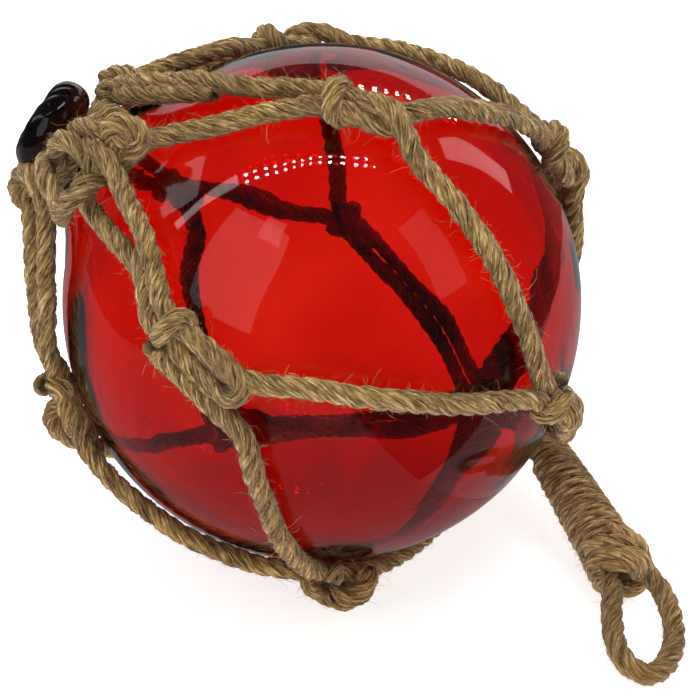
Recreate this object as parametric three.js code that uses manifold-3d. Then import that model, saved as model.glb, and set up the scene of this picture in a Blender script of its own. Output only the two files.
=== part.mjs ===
// Glass float ball: a blown fishing float of 150 mm in a knotted rope net.
// Millimetres, +Z up. The origin is the middle of the small flat under the glass, on the floor.
// The float lies on its side: its seal button points up to the left (-X), and the whipped grip
// leaves the net low at the back and lies on the floor towards the front right, with its loop.
import * as THREE from 'three'
import { mergeVertices } from 'three/addons/utils/BufferGeometryUtils.js'
import Module from 'manifold-3d'

const wasm = await Module()
wasm.setup()

// Driving dimensions
const ballRadius = 75
const flatDepth = 0.4 // the small flat spot under the ball
const ropeDiameter = 6
const gap = 0.8 // between the glass and the rope, whose straight steps come closer in their middle
const sealLean = 35.5 // degrees that the seal axis rises from the floor
const sealTurn = 5 // degrees that it turns back from -X
const neckRadius = 8
const neckBase = 76.5 // from the ball's centre, along the seal axis
const buttonRadius = 13
const buttonBase = 86
const buttonTop = 98
const collarRadius = 12.2
const collarHeight = 80.5
const gripRadius = 7.9
const gripEndRadius = 9.3
const gripTurns = 14
const gripStart = new THREE.Vector3(70.5, 5.5, 16.8)
const gripEnd = new THREE.Vector3(85.6, -42.8, 9.4)

const ropeRadius = ropeDiameter / 2
const gripDirection = gripEnd.clone().sub(gripStart).normalize()
const onGlass = ballRadius + gap + ropeRadius // radius of a rope's middle line on the glass
const centre = new THREE.Vector3(0, 0, ballRadius - flatDepth)
const degrees = THREE.MathUtils.degToRad

// The float's own axes: the seal axis, the upper side of the neck and the side across them
const sealAxis = new THREE.Vector3(
  -Math.cos(degrees(sealLean)) * Math.cos(degrees(sealTurn)),
  Math.cos(degrees(sealLean)) * Math.sin(degrees(sealTurn)),
  Math.sin(degrees(sealLean)))
const neckUp = new THREE.Vector3(0, 0, 1).addScaledVector(sealAxis, -sealAxis.z).normalize()
const neckSide = new THREE.Vector3().crossVectors(sealAxis, neckUp)

// Knots of the net, as degrees away from the seal and degrees round it from its upper side
const upperKnots = [[66, -23], [54, 53], [53, 114], [55, 211], [65, 275]]
const lowerKnots = [[112, 17], [97, 97], [99, 158], [121, 229], [132, 309]]
const gatherPlace = [153, 113]
const gatherLift = 9 // of the gather's middle from the glass
const gatherSize = [9, 8, 8]
const slackLift = [0, 0, 0, 5, 0] // how far each upper pair of ropes stands off the glass
const knotLift = 4.5 // of a knot's middle from the glass
const pairSpread = 2.6 // half the distance between two ropes that run side by side

const rope = new THREE.MeshStandardMaterial({ color: 0xb39b6d, roughness: 0.95, metalness: 0 })
const cord = new THREE.MeshStandardMaterial({ color: 0xb09468, roughness: 0.95, metalness: 0 })
const redGlass = new THREE.MeshStandardMaterial({ color: 0xc0180f, roughness: 0.05, metalness: 0 })

// Solids
function toManifold(geometry) {
  const bare = geometry.clone()
  bare.deleteAttribute('normal')
  bare.deleteAttribute('uv')
  const merged = mergeVertices(bare, 1e-4)
  const vertProperties = new Float32Array(merged.attributes.position.array)
  const triVerts = new Uint32Array(merged.index.array)
  return new wasm.Manifold(new wasm.Mesh({ numProp: 3, vertProperties, triVerts }))
}

function toMesh(solid, material, name) {
  const { vertProperties, triVerts } = solid.getMesh()
  const geometry = new THREE.BufferGeometry()
  geometry.setAttribute('position', new THREE.BufferAttribute(new Float32Array(vertProperties), 3))
  geometry.setIndex(new THREE.BufferAttribute(new Uint32Array(triVerts), 1))
  geometry.computeVertexNormals()
  const mesh = new THREE.Mesh(geometry, material)
  mesh.name = name
  return mesh
}

function joined(solids) {
  return solids.reduce((whole, solid) => whole.add(solid))
}

// A path whose steps follow its own points, so that they can be close in a knot and far on a rope
class RopePath extends THREE.CatmullRomCurve3 {
  getPointAt(share, target) {
    return this.getPoint(share, target)
  }

  getTangentAt(share, target) {
    return this.getTangent(share, target)
  }
}

// Where the float leaves a rope too little room, the rope lies on the floor beside the flat spot,
// in the first row next to the glass or in the second
function clearOfFloor(point, row = 0) {
  if (point.z >= ropeRadius) return point
  const beside = Math.sqrt(onGlass ** 2 - (centre.z - ropeRadius) ** 2) + row * ropeDiameter
  const spread = Math.max(1, beside / Math.hypot(point.x, point.y))
  return new THREE.Vector3(point.x * spread, point.y * spread, ropeRadius)
}

function tube(points, radius = ropeRadius, sides = 5) {
  const path = new RopePath(points.map((point) => clearOfFloor(point)), false, 'centripetal')
  const section = new THREE.Shape()
  for (let i = 0; i < sides; i++) {
    const angle = 2 * Math.PI * i / sides
    const [x, y] = [radius * Math.cos(angle), radius * Math.sin(angle)]
    if (i) section.lineTo(x, y)
    else section.moveTo(x, y)
  }
  return new THREE.ExtrudeGeometry(section, { steps: points.length - 1, extrudePath: path })
}

// A piece turned about its own Y axis, stood on that axis from a base point along a direction
function standAlong(geometry, base, direction) {
  const turn = new THREE.Quaternion().setFromUnitVectors(new THREE.Vector3(0, 1, 0), direction)
  return geometry.applyQuaternion(turn).translate(base.x, base.y, base.z)
}

// Places on the float
function outward([away, round]) {
  const across = neckUp.clone().multiplyScalar(Math.cos(degrees(round)))
    .addScaledVector(neckSide, Math.sin(degrees(round)))
  return sealAxis.clone().multiplyScalar(Math.cos(degrees(away)))
    .addScaledVector(across, Math.sin(degrees(away)))
}

function atRadius(direction, radius) {
  return direction.clone().normalize().multiplyScalar(radius).add(centre)
}

// Points over the glass from one place to another, raised in the middle by the slack
function overGlass(from, to, count, slack = 0) {
  const [a, b] = [from.clone().sub(centre), to.clone().sub(centre)]
  return Array.from({ length: count }, (_, i) => {
    const share = (i + 1) / (count + 1)
    const direction = a.clone().normalize().lerp(b.clone().normalize(), share)
    return atRadius(direction, onGlass + slack * Math.sin(Math.PI * share))
  })
}

const gatherPoint = atRadius(outward(gatherPlace), ballRadius + gatherLift)

// A knot's own frame: x away from the ropes that enter it, z off the glass
function knotFrame(place, towards) {
  const z = outward(place)
  const x = towards.clone().addScaledVector(z, -towards.dot(z)).normalize()
  const y = new THREE.Vector3().crossVectors(z, x)
  const origin = atRadius(z, ballRadius + gap + knotLift)
  return (px, py, pz) => origin.clone().addScaledVector(x, px)
    .addScaledVector(y, py).addScaledVector(z, pz)
}

const upperFrames = upperKnots.map((place) => knotFrame(place, sealAxis.clone().negate()))
const lowerFrames = lowerKnots.map((place) => knotFrame(place, gatherPoint.clone().sub(centre)))

// A mesh knot: two ropes enter it and turn back in a bight, and a bar of the next rope holds them
const bight = (at) => [at(-8, -3.3, 0), at(-1, -3.8, 0.6), at(5, -5, 1), at(10, -3, 1),
  at(10, 3, 1), at(5, 5, 1), at(-1, 3.8, 0.6), at(-8, 3.3, 0)]
const bar = (at) => tube([at(-4, 6.2, -0.6), at(-6, 4, 3.4), at(-5.5, -4, 3.4), at(-3.4, -6.2, -0.6)])

// The two places where the next ropes leave a knot: one over the bight, one from under it
const exitOver = (at) => [at(3, 0.5, 2.2), at(10, -4.5, 2.8), at(17, -10, 0)]
const exitUnder = (at) => [at(6, 2.5, -0.9), at(17, 11, -0.9)]

// The ring round the neck, and the hitches that hang each pair of upper ropes on it
function collarPoint(round, away, height) {
  const across = neckUp.clone().multiplyScalar(Math.cos(degrees(round)))
    .addScaledVector(neckSide, Math.sin(degrees(round)))
  return centre.clone().addScaledVector(sealAxis, height).addScaledVector(across, away)
}

function collar() {
  const ring = new THREE.TorusGeometry(collarRadius, ropeRadius, 5, 14).rotateX(Math.PI / 2)
  const base = centre.clone().addScaledVector(sealAxis, collarHeight)
  return standAlong(ring, base, sealAxis)
}

function hitch([, round], slack) {
  const bend = 14 // half the angle between a hitch's two ropes, seen along the neck
  const leg = (side) => [
    collarPoint(round + side * bend, collarRadius - 1, collarHeight + 3.8),
    collarPoint(round + side * bend, collarRadius + 4.6, collarHeight + 1.4),
    atRadius(outward([19, round + side * bend * 0.7]), onGlass + 1.5 + slack * 0.4)]
  const bar = [[-24, 1], [-11, 6.6], [11, 6.6], [24, 1]].map(([turn, away]) =>
    collarPoint(round + turn, collarRadius + away, collarHeight + 1.2))
  return { left: leg(-1), right: leg(1), bar: tube(bar) }
}

// From the collar to an upper knot, round its bight and back
function upperRopes() {
  return upperKnots.flatMap((place, i) => {
    const { left, right, bar } = hitch(place, slackLift[i])
    const turn = bight(upperFrames[i])
    const down = overGlass(left[2], turn[0], 3, slackLift[i])
    const back = overGlass(right[2], turn.at(-1), 3, slackLift[i]).reverse()
    return [bar, tube([...left, ...down, ...turn, ...back, ...right.reverse()])]
  })
}

// From an upper knot to the lower knot beside it, round its bight and up to the next upper knot
function middleRopes() {
  return lowerFrames.map((at, i) => {
    const start = exitUnder(upperFrames[i])
    const end = exitOver(upperFrames[(i + 1) % upperFrames.length])
    const turn = bight(at)
    const there = overGlass(start.at(-1), turn[0], 3)
    const back = overGlass(turn.at(-1), end.at(-1), 3)
    return tube([...start, ...there, ...turn, ...back, ...end.reverse()])
  })
}

// From each lower knot two ropes run side by side to the gather at the grip
function lowerRopes() {
  return lowerFrames.flatMap((at) => [exitOver(at), exitUnder(at)].map((start, other) => {
    const side = other ? 1 : -1
    const near = [...start.slice(0, -1), at(18, side * 4, -0.9)]
    const end = gatherPoint.clone().add(at(0, side * pairSpread, 0)).sub(at(0, 0, 0))
    const between = overGlass(near.at(-1), end, 4).map((point) => clearOfFloor(point, other))
    return tube([...near, ...between, end])
  }))
}

// The end of the grip's rope: it holds the lower ropes together and runs to the grip
function gather() {
  const lump = new THREE.SphereGeometry(1, 8, 6).scale(...gatherSize)
  lump.translate(gatherPoint.x, gatherPoint.y, gatherPoint.z)
  const before = (distance) => gripStart.clone().addScaledVector(gripDirection, -distance)
  const points = [gatherPoint, before(12), before(6), before(0.4)]
  return [lump, tube(points, ropeDiameter * 0.95, 7)]
}

function net() {
  const bars = [...upperFrames, ...lowerFrames].map(bar)
  const pieces = [collar(), ...bars, ...upperRopes(), ...middleRopes(), ...lowerRopes(), ...gather()]
  return joined(pieces.map(toManifold))
}

// The glass: one blown ball with its neck and the pressed seal button, in one profile
function glass() {
  const profile = []
  const ballSteps = 15
  const neckAngle = Math.PI - Math.asin((neckRadius + 4) / ballRadius)
  for (let i = 0; i <= ballSteps; i++) {
    const angle = neckAngle * i / ballSteps
    profile.push(new THREE.Vector2(ballRadius * Math.sin(angle), -ballRadius * Math.cos(angle)))
  }
  profile[0].x = 0
  profile.push(new THREE.Vector2(neckRadius + 1, neckBase), new THREE.Vector2(neckRadius, buttonBase - 5))
  const edgeSteps = 6
  const half = (buttonTop - buttonBase) / 2
  for (let i = 0; i <= edgeSteps; i++) {
    const angle = Math.PI * (i / edgeSteps - 0.5)
    const radius = buttonRadius - half + half * Math.cos(angle)
    profile.push(new THREE.Vector2(radius, buttonBase + half + half * Math.sin(angle)))
  }
  profile.push(new THREE.Vector2(0, buttonTop - 0.6))
  const turned = new THREE.LatheGeometry(profile, 30)
  const ball = toManifold(standAlong(turned, centre, sealAxis))
  const side = ballRadius
  const floorBlock = new THREE.BoxGeometry(side, side, side).translate(0, 0, -side / 2)
  return ball.subtract(toManifold(floorBlock))
}

// The grip: cord wound tightly round the rope, a ridge for each turn and a thicker last turn
function grip() {
  const length = gripStart.distanceTo(gripEnd)
  const pitch = length / gripTurns
  const profile = [new THREE.Vector2(0, 0)]
  for (let i = 0; i < gripTurns; i++) {
    const radius = THREE.MathUtils.lerp(gripRadius, gripEndRadius, i / (gripTurns - 1))
    const ridges = [[0, 0.87], [0.3, 1], [0.7, 1]]
    for (const [share, width] of ridges) {
      profile.push(new THREE.Vector2(radius * width, pitch * (i + share)))
    }
  }
  profile.push(new THREE.Vector2(gripEndRadius * 0.87, length), new THREE.Vector2(0, length))
  return toManifold(standAlong(new THREE.LatheGeometry(profile, 11), gripStart, gripDirection))
}

// The hanging loop: a rope bight that leaves the grip's end and lies on the floor.
// Its route is given in millimetres, from the left end round to the right end.
const loopRoute = [[82.3, -44.9, 9.1], [82.6, -48.2, 8.6], [82.4, -52.3, 7.6], [81.4, -58.5, 5.9],
  [80.9, -66.3, 4.0], [81.6, -72.8, 3.2], [83.9, -78.0, 3.2], [87.6, -80.9, 3.2], [91.6, -79.2, 3.2],
  [95.2, -74.0, 3.2], [97.8, -67.5, 3.6], [98.6, -61.0, 4.6], [98.0, -54.0, 6.0], [96.2, -48.8, 7.6],
  [94.0, -45.5, 8.7], [91.8, -43.2, 9.1]]

function hangingLoop() {
  const points = loopRoute.map(([x, y, z]) => new THREE.Vector3(x, y, z))
  return toManifold(tube(points, ropeRadius, 8))
}

const glassFloatBall = new THREE.Group()
glassFloatBall.add(
  toMesh(glass(), redGlass, 'glass_ball'),
  toMesh(net(), rope, 'rope_net'),
  toMesh(grip(), cord, 'whipped_grip'),
  toMesh(hangingLoop(), rope, 'hanging_loop'))

export default glassFloatBall
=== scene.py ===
"""Glass float ball: a blown red fishing float in a knotted jute net, with a whipped grip and a loop.

Metres, +Z up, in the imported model's frame. The float lies on its side on the floor: its seal button
points up to the left, and the grip leaves the net low at the back and lies towards the front right.
"""

import math

import bpy
import numpy as np
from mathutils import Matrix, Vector, noise


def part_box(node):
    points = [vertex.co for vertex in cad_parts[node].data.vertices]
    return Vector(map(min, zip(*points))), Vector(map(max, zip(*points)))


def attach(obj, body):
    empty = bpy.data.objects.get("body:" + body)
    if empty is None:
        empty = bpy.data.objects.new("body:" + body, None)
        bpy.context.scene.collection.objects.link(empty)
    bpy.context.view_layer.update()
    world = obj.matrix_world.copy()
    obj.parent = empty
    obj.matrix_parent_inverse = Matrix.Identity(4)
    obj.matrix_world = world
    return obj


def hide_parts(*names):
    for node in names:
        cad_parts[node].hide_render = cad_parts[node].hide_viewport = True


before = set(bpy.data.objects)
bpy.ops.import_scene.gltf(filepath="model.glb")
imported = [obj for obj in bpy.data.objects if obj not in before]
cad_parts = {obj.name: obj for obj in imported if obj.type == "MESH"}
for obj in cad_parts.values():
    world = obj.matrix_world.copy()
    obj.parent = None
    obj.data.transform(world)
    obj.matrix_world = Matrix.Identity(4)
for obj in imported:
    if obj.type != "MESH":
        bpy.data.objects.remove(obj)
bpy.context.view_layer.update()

MM = 0.001

# The float: its radius and middle, the thickness of its wall, and how the seal leans and turns
glass_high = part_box("glass_ball")[1]
BALL = round(glass_high[0], 3)
CENTRE = np.array([0, 0, glass_high[2] - glass_high[0]])
WALL = 2.4 * MM
SEAL_LEAN = math.radians(35.5)
SEAL_TURN = math.radians(5)

# The seal button and the ring of rope under it: radii, and heights along the seal axis
BUTTON = 14.2 * MM
BUTTON_BASE = 86 * MM
BUTTON_TOP = 98 * MM
COLLAR = 14.0 * MM
COLLAR_HEIGHT = 83.5 * MM

# The ropes: diameters, and the length in which the strands turn once
ROPE = 6 * MM
PAIR_ROPE = 5.83 * MM
THICK_ROPE = ROPE * 1.1
LAY = 15 * MM
# A rope has three strands, their radius is this share of its own, and their fibres lean by this slant
STRANDS = 3
STRAND_SHARE = 0.63
FIBRE_SLANT = 0.5
# A rope on the glass keeps its middle off it by this share of its radius, and a knot by so many mm
PRESSED = 0.93
KNOT_HEIGHT = 5.3

# The grip: its cord, the turns that would fill it, its ends and its radius at each end
GRIP_CORD = 3.7 * MM
GRIP_TURNS = 14
GRIP_START = np.array([70.5, 5.5, 16.8]) * MM
GRIP_END = np.array([85.6, -42.8, 9.4]) * MM
GRIP_RADIUS = (7.3 * MM, 9.4 * MM)
# The thicker lashing at its end: the cord, where it starts, how far on each turn lies, how much the
# turns lean and how deep the cord's middle lies
LASHING_CORD = 5.6 * MM
LASHING_START = -4.6 * MM
LASHING_PITCH = 4.4 * MM
LASHING_LEAN = 2.6 * MM
LASHING_DEPTH = 2.6 * MM
# The rope ends at the end of the grip: the one that goes on into the loop, and the one that caps it.
# Degrees round the grip, mm off its axis and mm past its end
END_ROPE = ROPE * 0.95
TAIL = [(95, 5.2, -9.5), (108, 7.4, -6.5), (125, 8.4, -3.5), (145, 8.2, -0.5), (162, 7.0, 2.2),
        (172, 5.4, 4.0)]
CAP = [(-40, 5.6, -0.6), (0, 6.0, 0.2), (45, 5.8, 1.6), (85, 5.4, 3.2), (120, 5.0, 4.6),
       (155, 4.2, 5.6)]

# The middle line of the hanging loop
LOOP_ROUTE = np.array([
    [82.3, -44.9, 9.1], [82.6, -48.2, 8.6], [82.4, -52.3, 7.6], [81.4, -58.5, 5.9], [80.9, -66.3, 4.0],
    [81.6, -72.8, 3.2], [83.9, -78.0, 3.2], [87.6, -80.9, 3.2], [91.6, -79.2, 3.2], [95.2, -74.0, 3.2],
    [97.8, -67.5, 3.6], [98.6, -61.0, 4.6], [98.0, -54.0, 6.0], [96.2, -48.8, 7.6], [94.0, -45.5, 8.7],
    [91.8, -43.2, 9.1]]) * MM

# The float's own axes: the seal axis, the upper side of the neck and the side across them
SEAL = np.array([-math.cos(SEAL_LEAN) * math.cos(SEAL_TURN),
                 math.cos(SEAL_LEAN) * math.sin(SEAL_TURN), math.sin(SEAL_LEAN)])
NECK_UP = np.array([0, 0, 1]) - SEAL * SEAL[2]
NECK_UP /= np.linalg.norm(NECK_UP)
NECK_SIDE = np.cross(SEAL, NECK_UP)


# ---------------------------------------------------------------- places on the float

def unit(vectors):
    return vectors / np.linalg.norm(vectors, axis=-1, keepdims=True)


def across_seal(angle):
    """The direction across the seal axis, at an angle round it from its upper side."""
    return NECK_UP * math.cos(angle) + NECK_SIDE * math.sin(angle)


def beside_seal(angle, radius, height):
    """A point beside the seal axis, at an angle round it and a height along it from the centre."""
    return CENTRE + SEAL * height + across_seal(angle) * radius


def outward(away, round_):
    """The direction so many degrees away from the seal and so many round it from its upper side."""
    away = math.radians(away)
    return SEAL * math.cos(away) + across_seal(math.radians(round_)) * math.sin(away)


def spot(away, round_, height):
    """A point so many degrees from the seal and round it, and so many mm off the glass."""
    return CENTRE + outward(away, round_) * (BALL + height * MM)


def spots(places):
    return [spot(*place) for place in places]


def over_glass(start, end, count, lift=0.0):
    """Rope points over the glass between two points, raised in the middle by so many mm."""
    a, b = start - CENTRE, end - CENTRE
    high, low = np.linalg.norm(a), np.linalg.norm(b)
    resting = BALL + ROPE / 2
    points = []
    for i in range(count):
        share = (i + 1) / (count + 1)
        direction = unit(unit(a) * (1 - share) + unit(b) * share)
        level = high * (1 - share) ** 2 + low * share ** 2 + 2 * share * (1 - share) * resting
        raised = lift * MM * math.sin(math.pi * share)
        points.append(CENTRE + direction * (max(level, resting) + raised))
    return points


GRIP_ALONG = unit(GRIP_END - GRIP_START)
GRIP_ACROSS = unit(np.cross(GRIP_ALONG, [0, 0, 1]))
GRIP_UPWARD = np.cross(GRIP_ACROSS, GRIP_ALONG)


def beside_grip(start, onward, angle, radius):
    """A point beside the grip's axis, onward along it from a start and at an angle round it."""
    across = GRIP_ACROSS * math.cos(angle) + GRIP_UPWARD * math.sin(angle)
    return start + GRIP_ALONG * onward + across * radius


# ---------------------------------------------------------------- rope making

def smooth_path(points, step):
    """Points one step apart on a centripetal Catmull-Rom curve through the given points."""
    inner = np.asarray(points, float)
    p = np.vstack([2 * inner[0] - inner[1], inner, 2 * inner[-1] - inner[-2]])
    at = np.concatenate([[0], np.cumsum(np.linalg.norm(np.diff(p, axis=0), axis=1) ** 0.5)])
    fine = []
    for i in range(1, len(p) - 2):
        t0, t1, t2, t3 = at[i - 1:i + 3]
        t = np.linspace(t1, t2, 16, endpoint=False)[:, None]
        a1 = ((t1 - t) * p[i - 1] + (t - t0) * p[i]) / (t1 - t0)
        a2 = ((t2 - t) * p[i] + (t - t1) * p[i + 1]) / (t2 - t1)
        a3 = ((t3 - t) * p[i + 1] + (t - t2) * p[i + 2]) / (t3 - t2)
        b1 = ((t2 - t) * a1 + (t - t0) * a2) / (t2 - t0)
        b2 = ((t3 - t) * a2 + (t - t1) * a3) / (t3 - t1)
        fine.append(((t2 - t) * b1 + (t - t1) * b2) / (t2 - t1))
    return even_steps(np.vstack(fine + [inner[-1:]]), step)


def even_steps(points, step):
    along = lengths_along(points)
    count = max(3, round(along[-1] / step) + 1)
    even = np.linspace(0, along[-1], count)
    return np.stack([np.interp(even, along, points[:, k]) for k in range(3)], axis=1)


def lengths_along(points):
    return np.concatenate([[0], np.cumsum(np.linalg.norm(np.diff(points, axis=0), axis=1))])


def settle(path, radius):
    """Lifts a rope's line out of the glass ball and off the floor."""
    path = path.copy()
    path[:, 2] = np.maximum(path[:, 2], radius)
    off = path - CENTRE
    distance = np.linalg.norm(off, axis=1, keepdims=True)
    clear = np.maximum(distance, BALL + radius * PRESSED)
    return CENTRE + off / distance * clear


def side_frames(path):
    """The tangent of a line at each point, and two directions across it that don't twist."""
    tangent = unit(np.gradient(path, axis=0))
    side = np.empty_like(path)
    start = np.cross(tangent[0], [0.31, 0.52, 0.79])
    for i, along in enumerate(tangent):
        start = start - along * np.dot(start, along)
        start = start / np.linalg.norm(start)
        side[i] = start
    return tangent, side, np.cross(tangent, side)


def ripple(along, rng, wavelength, size):
    """A smooth uneven line: three sines of about the wavelength with random phases."""
    total = np.zeros_like(along)
    for factor in (0.61, 1.0, 1.83):
        total += np.sin(2 * math.pi * along / (wavelength * factor) + rng.uniform(0, 2 * math.pi))
    return total * size / 3


def add_object(name, points, faces, material, smooth=False):
    mesh = bpy.data.meshes.new(name)
    mesh.from_pydata(points, [], faces)
    if smooth:
        mesh.polygons.foreach_set("use_smooth", np.ones(len(mesh.polygons), bool))
    mesh.materials.append(material)
    mesh.update()
    added = bpy.data.objects.new(name, mesh)
    bpy.context.collection.objects.link(added)
    return added


class Strands:
    """Closed tubes gathered into one mesh. The UV map holds millimetres across and along the fibres,
    and the attribute groove says how deep in the lay a point lies, which the jute darkens as painted
    shade."""

    def __init__(self, seed):
        self.rng = np.random.default_rng(seed)
        self.points, self.faces, self.uvs, self.groove, self.lines = [], [], [], [], []
        self.count = 0

    def tube(self, rings, along, groove):
        """Joins rings of points to a tube with closed ends, and keeps it above the floor."""
        n, m = rings.shape[:2]
        rings[:, :, 2] = np.maximum(rings[:, :, 2], 0.0)
        i, j = np.meshgrid(np.arange(n - 1), np.arange(m), indexing="ij")
        k = (j + 1) % m
        quads = np.stack([i * m + j, i * m + k, (i + 1) * m + k, (i + 1) * m + j], axis=-1)
        self.faces += (quads.reshape(-1, 4) + self.count).tolist()
        self.faces.append([self.count + q for q in reversed(range(m))])
        self.faces.append([self.count + (n - 1) * m + q for q in range(m)])
        girth = np.linalg.norm(rings[0, 1] - rings[0, 0]) * m / MM
        start = self.rng.uniform(0, 500)
        v = along / MM + start
        u = np.stack([j, j + 1, j + 1, j], axis=-1) / m * girth
        ends = np.stack([i, i, i + 1, i + 1], axis=-1)
        uv = np.stack([u + FIBRE_SLANT * v[ends] + start, v[ends]], axis=-1).reshape(-1, 2)
        self.uvs += [uv, np.zeros((2 * m, 2))]
        self.points.append(rings.reshape(-1, 3))
        self.groove.append(np.broadcast_to(groove, (n, m)).reshape(-1))
        self.count += n * m

    def laid(self, points, diameter=ROPE, lay=LAY, sides=12, step=1.3 * MM, free=False):
        """A rope of twisted strands along the given points. It wanders a little and settles on the
        glass and the floor, or it lies exactly where the points say if it is free."""
        radius = diameter / 2
        path = smooth_path(points, step)
        along = lengths_along(path)
        wander = np.stack([ripple(along, self.rng, 38 * MM, 0.35 * MM) for _ in range(3)], axis=1)
        if not free:
            path = settle(path + wander, radius)
        along = lengths_along(path)
        side, up = side_frames(path)[1:]
        self.lines.append((path, radius))
        start = self.rng.uniform(0, 2 * math.pi)
        loose = 1 + ripple(along, self.rng, 29 * MM, 0.05)
        turn = start + 2 * math.pi * along / lay + ripple(along, self.rng, 45 * MM, 0.35)
        section = np.linspace(0, 2 * math.pi, sides, endpoint=False)
        # How deep in the lay each side of a strand lies; the jute darkens these sides as painted shade
        groove = np.clip((0.45 - np.cos(section)) / 0.9, 0, 1)
        strand_radius = radius * STRAND_SHARE
        for number in range(STRANDS):
            angle = turn + 2 * math.pi * number / STRANDS
            radial = np.cos(angle)[:, None] * side + np.sin(angle)[:, None] * up
            middle = path + radial * ((radius - strand_radius) * loose)[:, None]
            onward = unit(np.gradient(middle, axis=0))
            radial = unit(radial - onward * np.sum(radial * onward, axis=1, keepdims=True))
            around = np.cross(onward, radial)
            # The strand swells and thins, and its yarns raise ridges along it
            size = strand_radius * (1 + ripple(along, self.rng, 11 * MM, 0.07))
            ridges = np.stack([ripple(along, self.rng, 7 * MM, 0.07) for _ in section], axis=1)
            ring = (np.cos(section)[None, :, None] * radial[:, None]
                    + np.sin(section)[None, :, None] * around[:, None])
            rings = middle[:, None] + ring * (size[:, None] * (1 + ridges))[:, :, None]
            self.tube(rings, along, groove[None])
        return path

    def piece(self, name, material):
        piece = add_object(name, np.vstack(self.points).tolist(), self.faces, material, smooth=True)
        piece.data.uv_layers.new(name="fibre").data.foreach_set("uv", np.vstack(self.uvs).ravel())
        depth = piece.data.attributes.new("groove", "FLOAT", "POINT")
        depth.data.foreach_set("value", np.concatenate(self.groove))
        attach(piece, "root")
        return piece


def prisms(lines, widths):
    """Points and faces of closed three-sided prisms along lines of equally many points."""
    count, knees = lines.shape[:2]
    onward = unit(lines[:, -1] - lines[:, 0])
    across = unit(np.cross(onward, [0.3, 0.5, 0.8]))
    beside = np.cross(onward, across)
    corners = [across, -0.5 * across + 0.87 * beside, -0.5 * across - 0.87 * beside]
    rings = np.stack([lines + corner[:, None] * widths[None, :, None] for corner in corners], axis=2)
    base = (np.arange(count) * knees * 3)[:, None, None]
    quads = np.array([[3 * k + c, 3 * k + (c + 1) % 3, 3 * k + 3 + (c + 1) % 3, 3 * k + 3 + c]
                      for k in range(knees - 1) for c in range(3)])
    caps = np.array([[2, 1, 0], [3 * knees - 3, 3 * knees - 2, 3 * knees - 1]])
    faces = (base + quads).reshape(-1, 4).tolist() + (base + caps).reshape(-1, 3).tolist()
    return rings.reshape(-1, 3).tolist(), faces


# Loose fibres: up to this share they lie on the rope, and above this share they curl far off it
LYING = 0.55
FLYING = 0.975
FIBRE_WIDTHS = np.array([0.05, 0.045, 0.04, 0.03]) * MM
FIBRE_CLEARANCE = 0.15 * MM
# Loose fibres on each metre of rope
NET_FIBRES = 7000
GRIP_FIBRES = 5500


def fuzz(name, lines, per_metre, seed, material, longest=6.0):
    """Loose jute fibres, up to so many mm long. Most lie short and crossed on the rope, the others
    stand off it, and a few are long and curl over the glass."""
    rng = np.random.default_rng(seed)
    roots, outs, runs = [], [], []
    for path, radius in lines:
        count = int(lengths_along(path)[-1] * per_metre)
        tangent, side, up = side_frames(path)
        i = rng.integers(0, len(path), count)
        angle = rng.uniform(0, 2 * math.pi, count)
        out = side[i] * np.cos(angle)[:, None] + up[i] * np.sin(angle)[:, None]
        depth = rng.uniform(0.86, 1.02, (count, 1))
        slid = tangent[i] * rng.uniform(-0.6, 0.6, (count, 1)) * MM
        roots.append(path[i] + out * radius * depth + slid)
        outs.append(out)
        runs.append(tangent[i] * rng.choice([-1, 1], (count, 1)))
    root, out, run = np.vstack(roots), np.vstack(outs), np.vstack(runs)
    count = len(root)
    kind = rng.random((count, 1))
    lies, far = kind < LYING, kind > FLYING
    length = np.where(far, rng.uniform(4, 1.6 * longest, (count, 1)),
                      np.minimum(rng.lognormal(0.45, 0.5, (count, 1)), longest)) * MM
    lean = np.where(lies, rng.uniform(-0.05, 0.12, (count, 1)), rng.uniform(0.2, 1.3, (count, 1)))
    direction = unit(run + out * lean + rng.normal(0, 0.35, (count, 3)))
    knees = len(FIBRE_WIDTHS)
    line = np.empty((count, knees, 3))
    line[:, 0] = root
    for k in range(1, knees):
        bend = np.where(lies, -0.22, 0.05) * out
        direction = unit(direction + rng.normal(0, 0.42, (count, 3)) + bend)
        line[:, k] = line[:, k - 1] + direction * length / (knees - 1)
    # No fibre goes into the glass or the floor
    off = line - CENTRE
    distance = np.linalg.norm(off, axis=2, keepdims=True)
    line = CENTRE + off / distance * np.maximum(distance, BALL + FIBRE_CLEARANCE)
    line[:, :, 2] = np.maximum(line[:, :, 2], FIBRE_CLEARANCE)
    points, faces = prisms(line, FIBRE_WIDTHS)
    piece = add_object(name, points, faces, material)
    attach(piece, "root")
    return piece


# ---------------------------------------------------------------- materials

def linear(hex_colour):
    """An sRGB hex colour as linear RGBA."""
    channels = [int(hex_colour[i:i + 2], 16) / 255 for i in (1, 3, 5)]
    return [c / 12.92 if c <= 0.04045 else ((c + 0.055) / 1.055) ** 2.4 for c in channels] + [1.0]


def node(material, kind, inputs=None, stops=None, **settings):
    """Adds a node with its settings, its ramp's colours and its inputs, which are values or links."""
    tree = material.node_tree
    new = tree.nodes.new(kind)
    for key, value in settings.items():
        setattr(new, key, value)
    for place, (position, colour) in enumerate(stops or []):
        elements = new.color_ramp.elements
        element = elements[place] if place < 2 else elements.new(position)
        element.position = position
        element.color = linear(colour)
    for key, value in (inputs or {}).items():
        if isinstance(value, bpy.types.NodeSocket):
            tree.links.new(value, new.inputs[key])
        else:
            new.inputs[key].default_value = value
    return new


def new_material(name):
    material = bpy.data.materials.new(name)
    material.use_nodes = True
    material.node_tree.nodes.clear()
    return material


# How far apart on the ramp the five hues of a jute lie
HUE_STEP = 0.06


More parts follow.
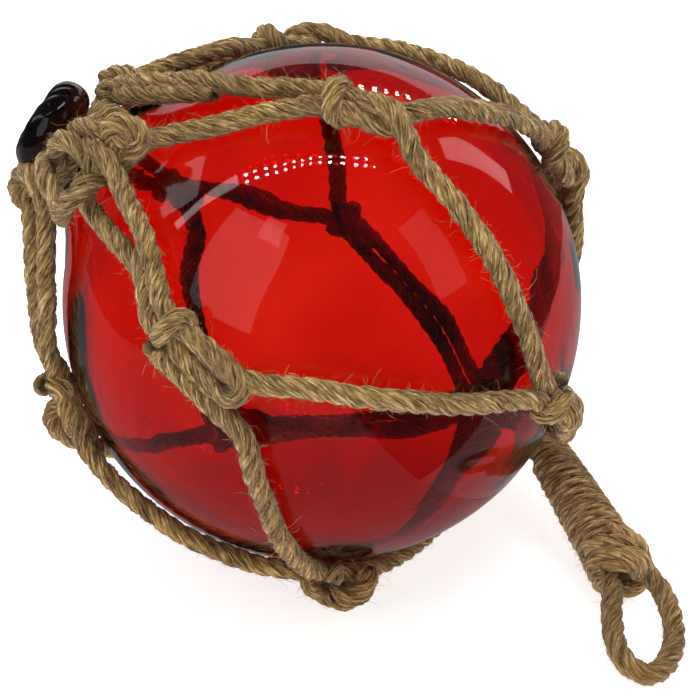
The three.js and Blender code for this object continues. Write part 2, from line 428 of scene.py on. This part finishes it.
def jute(name, hues, patch_size, brown=None):
    """Jute: long bast fibre, spun and laid dry. Pale stiff fibres lie along the strand among brown
    ones, painted shade darkens the grooves of the lay, and the surface has no gloss, only a faint
    sheen. A colour in brown tints the rope where it lies low: painted red light from the glass."""
    material = new_material(name)
    fibre = node(material, "ShaderNodeUVMap", uv_map="fibre")
    # Jute fibres are 0.05 mm thick; bundles of 0.45 mm by 3 mm are the finest that show
    bundles = node(material, "ShaderNodeMapping", {
        "Vector": fibre.outputs[0], "Scale": (1 / 0.45, 1 / 3.0, 1)})
    streaks = node(material, "ShaderNodeTexNoise", {
        "Vector": bundles.outputs[0], "Scale": 1.0, "Detail": 4.0, "Roughness": 0.65,
        "Distortion": 0.35})
    # Yarns 0.9 mm wide inside each strand, which keep their tone for about 14 mm
    yarns = node(material, "ShaderNodeMapping", {
        "Vector": fibre.outputs[0], "Scale": (1 / 0.9, 1 / 14, 1)})
    yarn = node(material, "ShaderNodeTexNoise", {
        "Vector": yarns.outputs[0], "Scale": 1.0, "Detail": 2.0, "Roughness": 0.5})
    blend = node(material, "ShaderNodeMix", {
        0: 0.4, 2: streaks.outputs["Fac"], 3: yarn.outputs["Fac"]}, data_type="FLOAT")
    colour = node(material, "ShaderNodeValToRGB", {"Fac": blend.outputs[0]},
                  stops=[(0.5 + (i - 2) * HUE_STEP, hue) for i, hue in enumerate(hues)])
    # The rope is paler and darker in patches, from spinning and use
    place = node(material, "ShaderNodeTexCoord")
    patches = node(material, "ShaderNodeTexNoise", {
        "Vector": place.outputs["Object"], "Scale": 1 / patch_size, "Detail": 2.0})
    tone = node(material, "ShaderNodeMapRange", {
        "Value": patches.outputs["Fac"], "From Min": 0.3, "From Max": 0.7, "To Min": 0.8,
        "To Max": 1.14})
    # Painted shade: the sides of the strands deep in the lay are darkened to 0.18 of their colour, as
    # if the grooves shaded them
    groove = node(material, "ShaderNodeAttribute", attribute_name="groove")
    groove_shade = node(material, "ShaderNodeMapRange", {
        "Value": groove.outputs["Fac"], "From Min": 0.12, "From Max": 0.75, "To Min": 1.0,
        "To Max": 0.18})
    shade = node(material, "ShaderNodeMath", {0: tone.outputs[0], 1: groove_shade.outputs[0]},
                 operation="MULTIPLY")
    hue = colour.outputs[0]
    if brown:
        # Painted light: rope that lies low is tinted warmer, standing in for the red light the glass
        # throws on it, most at the bottom and not at all at the top
        height = node(material, "ShaderNodeSeparateXYZ", {"Vector": place.outputs["Object"]})
        low = node(material, "ShaderNodeMapRange", {
            "Value": height.outputs["Z"], "From Min": 20 * MM, "From Max": 95 * MM, "To Min": 1.0,
            "To Max": 0.0})
        glass_light_tinted = node(material, "ShaderNodeMix", {
            0: low.outputs[0], 6: hue, 7: linear(brown)}, data_type="RGBA", blend_type="MULTIPLY")
        hue = glass_light_tinted.outputs[2]
    toned = node(material, "ShaderNodeVectorMath", {0: hue, "Scale": shade.outputs[0]},
                 operation="SCALE")
    relief = node(material, "ShaderNodeBump", {
        "Height": blend.outputs[0], "Strength": 1.0, "Distance": 0.7 * MM})
    shader = node(material, "ShaderNodeBsdfPrincipled", {
        "Base Color": toned.outputs[0], "Normal": relief.outputs[0], "Roughness": 0.88,
        "Specular IOR Level": 0.3, "Sheen Weight": 0.18, "Sheen Roughness": 0.5})
    node(material, "ShaderNodeOutputMaterial", {"Surface": shader.outputs[0]})
    return material


def loose_fibre(name, pale, dark):
    """Single jute fibres: straw coloured, some browner, with the slight shine of a plant stalk."""
    material = new_material(name)
    place = node(material, "ShaderNodeTexCoord")
    mixed = node(material, "ShaderNodeTexNoise", {
        "Vector": place.outputs["Object"], "Scale": 1 / (5 * MM), "Detail": 1.0})
    colour = node(material, "ShaderNodeValToRGB", {"Fac": mixed.outputs["Fac"]},
                  stops=[(0.35, dark), (0.65, pale)])
    shader = node(material, "ShaderNodeBsdfPrincipled", {
        "Base Color": colour.outputs[0], "Roughness": 0.6})
    node(material, "ShaderNodeOutputMaterial", {"Surface": shader.outputs[0]})
    return material


def red_glass():
    """Soda glass coloured in the melt and blown: clear red through the thin wall, almost black where
    it is solid, with a hard clean gloss and slight waves left by the blowing."""
    material = new_material("blown red soda glass")
    place = node(material, "ShaderNodeTexCoord")
    # Waves of the blown wall, about 25 mm long
    waves = node(material, "ShaderNodeTexNoise", {
        "Vector": place.outputs["Object"], "Scale": 1 / (25 * MM), "Detail": 1.0})
    relief = node(material, "ShaderNodeBump", {
        "Height": waves.outputs["Fac"], "Strength": 1.0, "Distance": 0.5 * MM})
    shader = node(material, "ShaderNodeBsdfPrincipled", {
        "Base Color": linear("#ffffff"), "Roughness": 0.0, "IOR": 1.5, "Transmission Weight": 1.0,
        "Normal": relief.outputs[0]})
    # A wall of 2.4 mm passes three fifths of the red light and a sixteenth of the green
    absorb = node(material, "ShaderNodeVolumeAbsorption", {
        "Color": linear("#ee6f00"), "Density": 1370.0})
    node(material, "ShaderNodeOutputMaterial", {
        "Surface": shader.outputs[0], "Volume": absorb.outputs[0]})
    return material


# ---------------------------------------------------------------- knots

def knot_frame(place, towards, height):
    """A knot's own frame in mm: x away from the ropes that enter it, z off the glass."""
    z = outward(*place)
    x = unit(towards - z * np.dot(towards, z))
    y = np.cross(z, x)
    origin = CENTRE + z * (BALL + height * MM)
    return lambda px, py, pz: origin + (x * px + y * py + z * pz) * MM


class Knot:
    """A mesh knot: two ropes come in and turn back in a bight, and the next rope comes in over the
    bight or beside it, dives through it, and crosses the two legs as a bar before it leaves. The bar
    and the bight's reach are places on the knot's x axis. A pair leaves and arrives side by side."""

    def __init__(self, place, towards, bar=-5.8, reach=10.3, beside=False, pair=False,
                 height=KNOT_HEIGHT):
        self.at = knot_frame(place, towards, height)
        self.bar, self.reach, self.beside, self.pair = bar, reach, beside, pair

    def bight(self):
        at, bar, reach = self.at, self.bar, self.reach
        half = [(bar - 5, 2.9, -1.6), (bar, 2.4, -0.9), (bar + 5, 2.7, -0.7), (reach - 4.5, 3.1, -0.5),
                (reach - 1.2, 2.3, -0.4)]
        return ([at(x, -y, z) for x, y, z in half] + [at(reach, 0, -0.4)]
                + [at(x, y, z) for x, y, z in reversed(half)])

    def crossing(self):
        """The next rope, from where it comes in on the -y side to where it leaves on the +y side."""
        at, bar, reach = self.at, self.bar, self.reach
        if self.pair:
            arrive = [(reach + 9, -2.9, -2.2), (reach + 4, -3.0, 0.4), (reach - 0.5, -2.2, 3.9),
                      (reach - 5, -0.6, 3.5), (bar + 7, 0.6, -0.2), (bar + 4, 2.6, -2.2),
                      (bar + 1.2, 4.9, -1.2), (bar + 0.3, 4.3, 1.6)]
        elif self.beside:
            arrive = [(reach + 7, -8.5, -2.2), (reach + 1, -7.9, -1.8), (reach - 6, -7.4, -1.2),
                      (bar + 5, -7.0, -0.6), (bar + 1.5, -6.2, 0.8), (bar + 0.3, -4.2, 2.7)]
        else:
            arrive = [(reach + 7, -8.2, -2.0), (reach + 3, -5.6, 1.8), (reach - 1.5, -2.6, 4.2),
                      (reach - 6, -0.6, 3.6), (bar + 7, 0.6, -0.2), (bar + 4, 2.6, -2.2),
                      (bar + 1.2, 4.9, -1.2), (bar + 0.3, 4.3, 1.6)]
        side = -1 if self.beside else 1
        across = [(bar, 2.4 * side, 3.2), (bar, 0, 3.6), (bar, -2.4 * side, 3.2),
                  (bar + 0.4, -4.3 * side, 1.4), (bar + 1.6, -4.9 * side, -1.2)]
        leave = [(bar + 5, -2.0 * side, -2.3), (reach - 5, 1.5, -2.3)]
        if self.pair:
            leave += [(reach, 2.7, -2.3), (reach + 6, 2.9, -2.3)]
        elif self.beside:
            leave += [(reach - 0.5, 3.4, -2.3), (reach + 4.5, 6.5, -2.2), (reach + 9, 10.5, -2.2)]
        else:
            leave += [(reach, 4.6, -2.2), (reach + 5, 8.6, -2.2)]
        return [at(*p) for p in arrive], [at(*p) for p in across + leave]


AWAY_FROM_SEAL = -SEAL
GATHER = spot(153, 113, 9)
TO_GATHER = GATHER - CENTRE
UPPER = [
    Knot((66, -23), AWAY_FROM_SEAL, bar=-7.0, reach=10.0),
    Knot((54, 53), AWAY_FROM_SEAL),
    Knot((53, 114), AWAY_FROM_SEAL),
    Knot((52.2, 208.8), AWAY_FROM_SEAL, reach=9.2),
    Knot((65, 275), AWAY_FROM_SEAL, bar=-11.0, reach=12.5, beside=True)]
LOWER = [
    Knot((112, 17), TO_GATHER, pair=True),
    Knot((97, 97), TO_GATHER, pair=True),
    Knot((99, 158), TO_GATHER, pair=True),
    Knot((121, 227.3), TO_GATHER, pair=True, height=3.8),
    Knot((132, 309), TO_GATHER, bar=-4.5, reach=7.5, pair=True)]
# How far the slack upper pairs stand off the glass, in mm
UPPER_LIFT = [0, 0, 0, 1.5, 0]
# Where a rope between an upper and a lower knot doesn't run straight
MIDDLE_VIA = [[], [], [(68, 132, 3.1), (77, 142.5, 3.1), (86, 149.5, 3.1)], [], []]


# ---------------------------------------------------------------- the net

# The upper pairs at the seal: each leg from under the button to where it lies on the glass, then the
# hitches and turns round the collar. Degrees from the seal and round it, and mm off the glass
COLLAR_LEGS = [
    ([(12, 300, 12), (16, 304, 15.5), (21, 307, 16), (25, 308, 13), (27.5, 311, 8), (31, 317, 4.5),
      (39, 323.5, 3.2)],
     [(10, 10, 12), (13.5, 8, 11), (21, 352, 8.2), (29.5, 346, 5.8), (36, 342.5, 4.4),
      (44, 340.5, 3.6)]),
    ([(10.5, 34, 12.5), (14, 33, 10.5), (19, 33, 8), (27, 33, 5), (38, 39, 3.4)],
     [(11, 60, 12), (15, 55, 9), (20, 52, 5.5), (30, 53, 3.6)]),
    ([(9, 100, 13), (14, 104, 9), (20, 106, 5), (30, 108, 3.5)],
     [(9, 130, 13), (14, 126, 9), (20, 123, 5), (30, 120, 3.5)]),
    ([(9, 203, 16), (12, 202, 15.5), (16, 201.5, 12), (25, 204, 8.8), (38, 206.5, 6.5)],
     [(9, 250, 14), (12.5, 243, 13), (16, 234, 9.5), (22, 226, 6.5), (34, 218, 5.0)]),
    ([(21, 288, 10), (23.5, 281, 9.5), (25, 276.5, 6), (33, 277.5, 3.6), (44, 278.5, 3.2)],
     [(14, 297, 10), (20, 299, 13.5), (25.5, 300, 13.5), (28, 297, 9.5), (30, 293, 6), (39, 287, 3.6)])]
COLLAR_TURNS = [
    [(25, 300, 6), (29, 309, 7.5), (30.5, 312.5, 11), (28.5, 313, 14), (26, 310, 15), (25, 305, 11.5),
     (26.5, 301, 6)],
    [(10, 268, 12), (16, 289, 17), (19, 296.5, 18), (22, 297, 15.5), (23, 294, 12), (24.5, 289, 7)],
    [(21, 262, 9), (23, 270, 11.5), (25.5, 278, 12.5), (26, 284, 12), (24, 290, 8)],
    [(14, 196, 8), (14, 199, 13), (13, 202, 17), (10.5, 206, 18.5), (9, 225, 18),
     (11.5, 244, 16), (15, 243, 11)],
    [(9, 262, 15), (17, 274, 17), (21, 273, 15), (22, 268, 11), (21, 258, 8)],
    [(15, 310, 8), (18.5, 314, 11.5), (19, 321, 12), (18, 327, 8)],
    [(11, 32, 9.5), (13, 8, 9), (16.5, 352, 7.8), (22.5, 345, 5.8), (29, 342, 4), (36, 340.5, 3.2)],
    [(17, 20, 6), (16, 26, 11), (13.5, 42, 14), (15, 58, 11), (17, 64, 6)],
    [(16, 94, 7), (15, 102, 12), (12, 115, 15), (15, 128, 12), (16, 136, 7)]]

# Two spare turns in the same measures: one hangs under the front low knot, and one fills the left
# knot on its glass side
LOWER_TURN = [(117, 225, 2.2), (117.5, 227, 5.6), (119, 228.3, 8.8), (121.5, 229.7, 10.6),
              (124, 231, 10), (126.5, 232, 7), (127, 231.5, 3.2)]
LOWER_TURN_ROPE = ROPE * 1.2
SIDE_TURN = [(44, 208.3, 4.5), (48, 209.4, 2.8), (52, 210.2, 2.7), (56, 211.1, 2.7),
             (60, 211.9, 2.7), (65, 212.8, 3.8)]
# Half the gap between the ropes of a pair at the gather, in mm
GATHER_HALF = 2.9


def upper_ropes(strands):
    """The pairs from the seal to the upper knots, and the turns that hitch them there."""
    for knot, (near, far), lift in zip(UPPER, COLLAR_LEGS, UPPER_LIFT):
        near, far = spots(near), spots(far)
        bight = knot.bight()
        strands.laid(near + over_glass(near[-1], bight[0], 2, lift) + bight
                     + over_glass(bight[-1], far[-1], 2, lift) + far[::-1], PAIR_ROPE)
    for turn in COLLAR_TURNS:
        strands.laid(spots(turn))


def middle_ropes(strands):
    """The ropes from each upper knot to the lower one, round its bight and up to the next."""
    for i, lower in enumerate(LOWER):
        upper, following = UPPER[i], UPPER[(i + 1) % len(UPPER)]
        leave = upper.crossing()[1]
        arrive = following.crossing()[0]
        bight = lower.bight()
        there = spots(MIDDLE_VIA[i]) or over_glass(leave[-1], bight[0], 3)
        back = over_glass(bight[-1], arrive[0], 3)
        strands.laid(leave + there + bight + back + arrive)


def lower_ropes(strands):
    """The pairs from the lower knots to the gather and back."""
    for lower in LOWER:
        arrive, leave = lower.crossing()
        middle = lower.at(0, 0, 0)
        ends = [GATHER + lower.at(0, side * GATHER_HALF, 0) - middle for side in (-1, 1)]
        tip = GATHER + lower.at(3.2, 0, 0) - middle
        strands.laid(leave + over_glass(leave[-1], ends[1], 4) + [ends[1], tip, ends[0]]
                     + over_glass(ends[0], arrive[0], 4) + arrive)


def lower_turn(strands):
    strands.laid(spots(LOWER_TURN), LOWER_TURN_ROPE)


def side_turn(strands):
    strands.laid(spots(SIDE_TURN), THICK_ROPE, free=True)


def collar(strands):
    """The ring of rope round the neck, under the button."""
    ring = [beside_seal(math.radians(turn), COLLAR, COLLAR_HEIGHT) for turn in range(0, 361, 12)]
    strands.laid(ring, free=True)


def gather(strands):
    """The two ropes that run on from the gather into the grip."""
    before = [GRIP_START - GRIP_ALONG * gap * MM for gap in (14, 7, 0)]
    inside = GRIP_START + GRIP_ALONG * 8 * MM
    for side in (-1, 1):
        shift = GRIP_ACROSS * 2.6 * MM * side
        strands.laid([GATHER + shift] + [point + shift for point in before] + [inside])


def net_pieces(material):
    """The net in three pieces, each with the lines of its ropes."""
    pieces = []
    for name, seed, makers in (
            ("net_upper", 3, (upper_ropes, side_turn, collar)),
            ("net_middle", 5, (middle_ropes,)),
            ("net_lower", 7, (lower_ropes, lower_turn, gather))):
        strands = Strands(seed)
        for make in makers:
            make(strands)
        piece = strands.piece(name, material)
        pieces.append((piece, strands.lines))
    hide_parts("rope_net")
    return pieces


# ---------------------------------------------------------------- grip and loop

def grip(material):
    """Cord wound tightly round the end of the net's rope, and a thicker lashing that leans over its
    end. The winding leaves the last turn's room to the lashing. Returns the lines of its ropes."""
    strands = Strands(11)
    length = np.linalg.norm(GRIP_END - GRIP_START)
    thin, thick = GRIP_RADIUS
    steps = 12
    winding = []
    for i in range((GRIP_TURNS - 1) * steps + 1):
        share = i / (GRIP_TURNS * steps)
        onward = length * share + GRIP_CORD / 2
        radius = thin + (thick - thin) * share - GRIP_CORD / 2
        winding.append(beside_grip(GRIP_START, onward, 2 * math.pi * i / steps, radius))
    strands.laid(winding, GRIP_CORD, lay=24 * MM, step=1.0 * MM, sides=8, free=True)
    lashing = []
    for i in range(2 * steps + 2):
        angle = 2 * math.pi * i / steps
        onward = LASHING_START + LASHING_PITCH * i / steps - LASHING_LEAN * math.cos(angle)
        lashing.append(beside_grip(GRIP_END, onward, angle, thick - LASHING_DEPTH))
    strands.laid(lashing, LASHING_CORD, lay=18 * MM, step=1.0 * MM, free=True)
    for route in (TAIL, CAP):
        end = [beside_grip(GRIP_END, onward * MM, math.radians(degrees), radius * MM)
               for degrees, radius, onward in route]
        strands.laid(end, END_ROPE, free=True)
    # The two ropes inside
    for side in (-1, 1):
        shift = GRIP_ACROSS * 2.3 * MM * side
        middle = (GRIP_START + GRIP_END) / 2
        strands.laid([GRIP_START + shift, middle + shift, GRIP_END + shift], free=True)
    piece = strands.piece("grip_winding", material)
    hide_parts("whipped_grip")
    return strands.lines


def hanging_loop(material):
    """The bight of rope that comes out of the grip, lies on the floor and goes back in. Returns the
    lines of its ropes."""
    strands = Strands(13)
    path = strands.laid(LOOP_ROUTE, THICK_ROPE, free=True)
    piece = strands.piece("hanging_rope_loop", material)
    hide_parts("hanging_loop")
    return strands.lines


# ---------------------------------------------------------------- glass

def revolved(profile, sides):
    """Points and faces of a closed form turned about the seal axis, from (radius, height) pairs
    that start and end on the axis."""
    first, *inner, last = profile
    points = [CENTRE + SEAL * first[1]]
    for radius, height in inner:
        for j in range(sides):
            points.append(beside_seal(2 * math.pi * j / sides, radius, height))
    points.append(CENTRE + SEAL * last[1])
    faces = []
    for j in range(sides):
        k = (j + 1) % sides
        faces.append((0, 1 + k, 1 + j))
        for i in range(len(inner) - 1):
            a, b = 1 + i * sides, 1 + (i + 1) * sides
            faces.append((a + j, a + k, b + k, b + j))
        end = 1 + (len(inner) - 1) * sides
        faces.append((end + j, end + k, len(points) - 1))
    return points, faces


# The glass from the ball's shoulder up the neck: (radius, height) pairs in mm, outside and inside
NECK_OUTSIDE = [(27.5, 70.4), (24, 72.5), (20.5, 75), (17.2, 77.8), (14.2, 80.4), (11.8, 82.5),
                (9.8, 84), (8.4, 85.2)]
NECK_INSIDE = [(26.4, 68.2), (23, 70.2), (19.6, 72.6), (16.2, 75.2), (12.6, 77.8), (8.6, 79.8),
               (4.4, 80.9), (0, 81.2)]
SHOULDER_OUTSIDE = 31 * MM
SHOULDER_INSIDE = 30 * MM


def ball_profile(radius, shoulder):
    """The profile of a ball from its far pole up to the shoulder's radius, where the neck begins."""
    steps = 110
    reach = math.pi - math.asin(shoulder / radius)
    profile = [(radius * math.sin(reach * i / steps), -radius * math.cos(reach * i / steps))
               for i in range(steps + 1)]
    profile[0] = (0, -radius)
    return profile


def button_profile():
    """The profile of the button: a rounded edge and a top that sinks a little in the middle."""
    half = (BUTTON_TOP - BUTTON_BASE) / 2
    steps = 12
    profile = []
    for i in range(steps + 1):
        angle = math.pi * (i / steps - 0.5)
        radius = BUTTON - half + half * math.cos(angle)
        profile.append((radius, BUTTON_BASE + half + half * math.sin(angle)))
    return profile + [(4 * MM, BUTTON_TOP - 0.4 * MM), (0, BUTTON_TOP - 0.6 * MM)]


def lumps(off, size, height, shift=(0, 0, 0)):
    """How far smooth lumps of about the size raise the glass, up to the height."""
    return noise.noise(Vector(off / size) + Vector(shift)) * height


def glass_ball(material):
    """The blown shell, its neck and the pressed seal button, hollow inside."""
    sides = 144
    outer = ball_profile(BALL, SHOULDER_OUTSIDE) + [(r * MM, h * MM) for r, h in NECK_OUTSIDE]
    inner = ball_profile(BALL - WALL, SHOULDER_INSIDE) + [(r * MM, h * MM) for r, h in NECK_INSIDE]
    points, faces = revolved(outer + button_profile(), sides)
    hollow, hollow_faces = revolved(inner, sides)
    moved = []
    for point in points:
        off = point - CENTRE
        # The press has folded the button, in creases 4.2 mm apart that wander a little
        pressed = max(0.0, min(1.0, (float(np.dot(off, SEAL)) - 84 * MM) / (4 * MM)))
        across = float(np.dot(off, NECK_SIDE)) + lumps(off, 12 * MM, 4 * MM)
        crease = math.sin(2 * math.pi * across / (4.2 * MM)) * 0.22 * MM
        fold = (lumps(off, 13 * MM, 1.4 * MM, (3, 7, 1)) + crease) * pressed
        moved.append(point + unit(off) * (lumps(off, 16 * MM, 0.12 * MM) + fold))
    for point in hollow:
        off = point - CENTRE
        moved.append(point + unit(off) * lumps(off, 24 * MM, 0.5 * MM, (9, 2, 5)))
    for point in moved:
        point[2] = max(point[2], 0.0)
    shift = len(points)
    faces += [tuple(shift + v for v in reversed(face)) for face in hollow_faces]
    piece = add_object("blown_glass", [tuple(p) for p in moved], faces, material, smooth=True)
    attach(piece, "root")
    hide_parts("glass_ball")


# ---------------------------------------------------------------- camera, floor and light

CAMERA_LENS = 78.95
CAMERA_DISTANCE = 450 * MM
CAMERA_DOWN = math.radians(30)
# Where the camera aims, from the middle of the ball
CAMERA_AIM = (7.86 * MM, -6.84 * MM, -11.85 * MM)


def camera():
    """Looks along +Y and down at the float."""
    data = bpy.data.cameras.new("camera")
    data.lens = CAMERA_LENS
    data.sensor_width = 36
    placed = bpy.data.objects.new("camera", data)
    bpy.context.collection.objects.link(placed)
    away = Vector((0, -math.cos(CAMERA_DOWN), math.sin(CAMERA_DOWN)))
    location = Vector(CENTRE) + away * CAMERA_DISTANCE
    aim = Vector(CENTRE) + Vector(CAMERA_AIM)
    placed.location = location
    placed.rotation_euler = (aim - location).to_track_quat("-Z", "Y").to_euler()
    bpy.context.scene.camera = placed


def towards_light(round_, up):
    """The direction so many degrees round from the front, to the right, and so many up."""
    round_, up = math.radians(round_), math.radians(up)
    return np.array([math.sin(round_) * math.cos(up), -math.cos(round_) * math.cos(up), math.sin(up)])


def hang(lamp, direction, distance):
    """Hangs a lamp in a direction from the float, so that it shines at it."""
    placed = bpy.data.objects.new(lamp.name, lamp)
    bpy.context.collection.objects.link(placed)
    away = Vector(unit(direction))
    placed.location = Vector(CENTRE) + away * distance
    placed.rotation_euler = (-away).to_track_quat("-Z", "Y").to_euler()
    return placed


def white_paper():
    """Paper sweep: matt and even, with a trace of tone, and lit through from below."""
    material = new_material("white paper sweep")
    place = node(material, "ShaderNodeTexCoord")
    grain = node(material, "ShaderNodeTexNoise", {"Vector": place.outputs["Object"], "Scale": 40.0})
    tone = node(material, "ShaderNodeValToRGB", {"Fac": grain.outputs["Fac"]},
                stops=[(0.3, "#f3f3f2"), (0.7, "#f7f7f6")])
    shader = node(material, "ShaderNodeBsdfPrincipled", {
        "Base Color": tone.outputs[0], "Roughness": 0.9, "Emission Color": linear("#ffffff"),
        "Emission Strength": 0.7})
    node(material, "ShaderNodeOutputMaterial", {"Surface": shader.outputs[0]})
    return material


def plain_paper(name, colour):
    """Matt paper in one even tone."""
    material = new_material(name)
    shader = node(material, "ShaderNodeBsdfPrincipled", {
        "Base Color": linear(colour), "Roughness": 0.9})
    node(material, "ShaderNodeOutputMaterial", {"Surface": shader.outputs[0]})
    return material


def lay_sheet(name, material, near, far):
    """A sheet of paper between two corners, just under the float."""
    (x0, y0), (x1, y1) = near, far
    z = -0.3 * MM
    corners = [(x0, y0, z), (x1, y0, z), (x1, y1, z), (x0, y1, z)]
    sheet = add_object(name, corners, [(0, 1, 2, 3)], material)
    return sheet


def floor():
    """The paper that the float stands on, and grey sheets that only the float's gloss mirrors in its
    place: a painted darker reflection of the floor.
    """
    white, grey = white_paper(), plain_paper("grey paper", "#a2a2a2")
    dark_grey = plain_paper("dark grey paper", "#8a8a8a")
    # Painted reflection: the glass doesn't mirror the white floor but darker grey sheets in its place,
    # which the camera and the other surfaces don't see
    lay_sheet("floor", white, (-20, -20), (20, 20)).visible_glossy = False
    for mirrored in (lay_sheet("mirrored_paper", grey, (0.062, -0.098), (0.42, 0.3)),
                     lay_sheet("mirrored_dark_sheet", dark_grey, (-0.6, -0.6), (0.0615, 0.3))):
        for ray in ("camera", "diffuse", "transmission", "shadow", "volume_scatter"):
            setattr(mirrored, "visible_" + ray, False)


def room():
    """A white tent lights the float from all sides, its gloss mirrors a dim room, and the camera
    sees a white backdrop behind it."""
    world = bpy.data.worlds.new("studio")
    bpy.context.scene.world = world
    world.use_nodes = True
    tent = world.node_tree.nodes["Background"]
    tent.inputs["Color"].default_value = linear("#f9fcff")
    tent.inputs["Strength"].default_value = 0.28
    dim = node(world, "ShaderNodeBackground", {"Color": linear("#fffaf8"), "Strength": 0.07})
    path = node(world, "ShaderNodeLightPath")
    lit = node(world, "ShaderNodeMixShader", {
        0: path.outputs["Is Glossy Ray"], 1: tent.outputs[0], 2: dim.outputs[0]})
    backdrop = node(world, "ShaderNodeBackground", {"Color": linear("#ffffff"), "Strength": 1.0})
    seen = node(world, "ShaderNodeMixShader", {
        0: path.outputs["Is Camera Ray"], 1: lit.outputs[0], 2: backdrop.outputs[0]})
    surface = world.node_tree.nodes["World Output"].inputs["Surface"]
    world.node_tree.links.new(seen.outputs[0], surface)


# Name, direction from the float (degrees round from the front and up), distance, size, brightness,
# and whether the gloss of the glass shows it
PANELS = [
    ("overhead", (150, 76), 2.4, (2.6, 2.2), 0.82, False),
    ("front fill", (-12, 20), 2.2, (2.2, 1.0), 0.34, False),
    ("back wall", (176, 13), 2.6, (3.2, 1.15), 0.21, True),
    ("left window", (-88, 46), 1.6, (0.12, 0.8), 0.95, True),
    ("left curtain", (-110, 33), 1.8, (0.7, 0.8), 0.4, True),
    ("right window", (124, 29), 1.8, (0.3, 0.8), 0.5, True),
    ("front left wall", (-46, 37), 2.0, (1.05, 1.5), 0.23, True),
    ("lit corner", (-35, 55), 1.9, (0.3, 0.3), 0.3, True),
    ("front right wall", (62, 36), 2.0, (0.5, 1.1), 0.14, True)]

# Two strips of small lamps overhead, which glitter in the glass: the directions of their ends
STRIPS = [((-82, 63), (90, 72)), ((-176, 50), (136, 27))]
STRIP_LAMPS = 14
STRIP_LAMP = 28 * MM
STRIP_BRIGHTNESS = 34
STRIP_DISTANCE = 1.3
# How far the direction of the second row is moved back from the first
STRIP_ROW = np.array([0, 0.05, 0])


def panels():
    for name, place, distance, (width, height), brightness, glossy in PANELS:
        lamp = bpy.data.lights.new(name, "AREA")
        lamp.shape = "RECTANGLE"
        lamp.size, lamp.size_y = width, height
        lamp.energy = brightness * width * height * math.pi ** 2
        hang(lamp, towards_light(*place), distance).visible_glossy = glossy


def strips():
    for start, end in STRIPS:
        a, b = towards_light(*start), towards_light(*end)
        for i in range(STRIP_LAMPS):
            share = i / (STRIP_LAMPS - 1)
            for row in (0, 1):
                lamp = bpy.data.lights.new("strip lamp", "AREA")
                lamp.shape = "DISK"
                lamp.size = STRIP_LAMP
                lamp.energy = STRIP_BRIGHTNESS * STRIP_LAMP ** 2 / 4 * math.pi ** 2
                hang(lamp, unit(a * (1 - share) + b * share) + STRIP_ROW * row, STRIP_DISTANCE)


# ---------------------------------------------------------------- making

camera()
rope_jute = jute(
    "laid jute rope", ["#362511", "#6b5029", "#927342", "#bd9b63", "#e8ca93"], 14 * MM, "#fff0dc")
cord_jute = jute("wound jute cord", ["#422c14", "#785630", "#a17b4b", "#c29d69", "#e4c691"], 11 * MM)
strays = loose_fibre("loose jute fibre", "#c4a873", "#735a32")
handled_jute = jute(
    "handled jute rope", ["#3a2610", "#6a4b23", "#8b6838", "#a78453", "#c6a86e"], 12 * MM)
loop_lines = hanging_loop(handled_jute)
glass_ball(red_glass())
net = net_pieces(rope_jute)
winding_lines = grip(cord_jute)
for (piece, lines), seed in zip(net, (21, 22, 23)):
    hair = fuzz(piece.name + "_fuzz", lines, NET_FIBRES, seed, strays)
hair = fuzz("grip_fuzz", winding_lines + loop_lines, GRIP_FIBRES, 24, strays, longest=3.0)
floor()
room()
panels()
strips()
bpy.context.scene.view_settings.view_transform = "Standard"
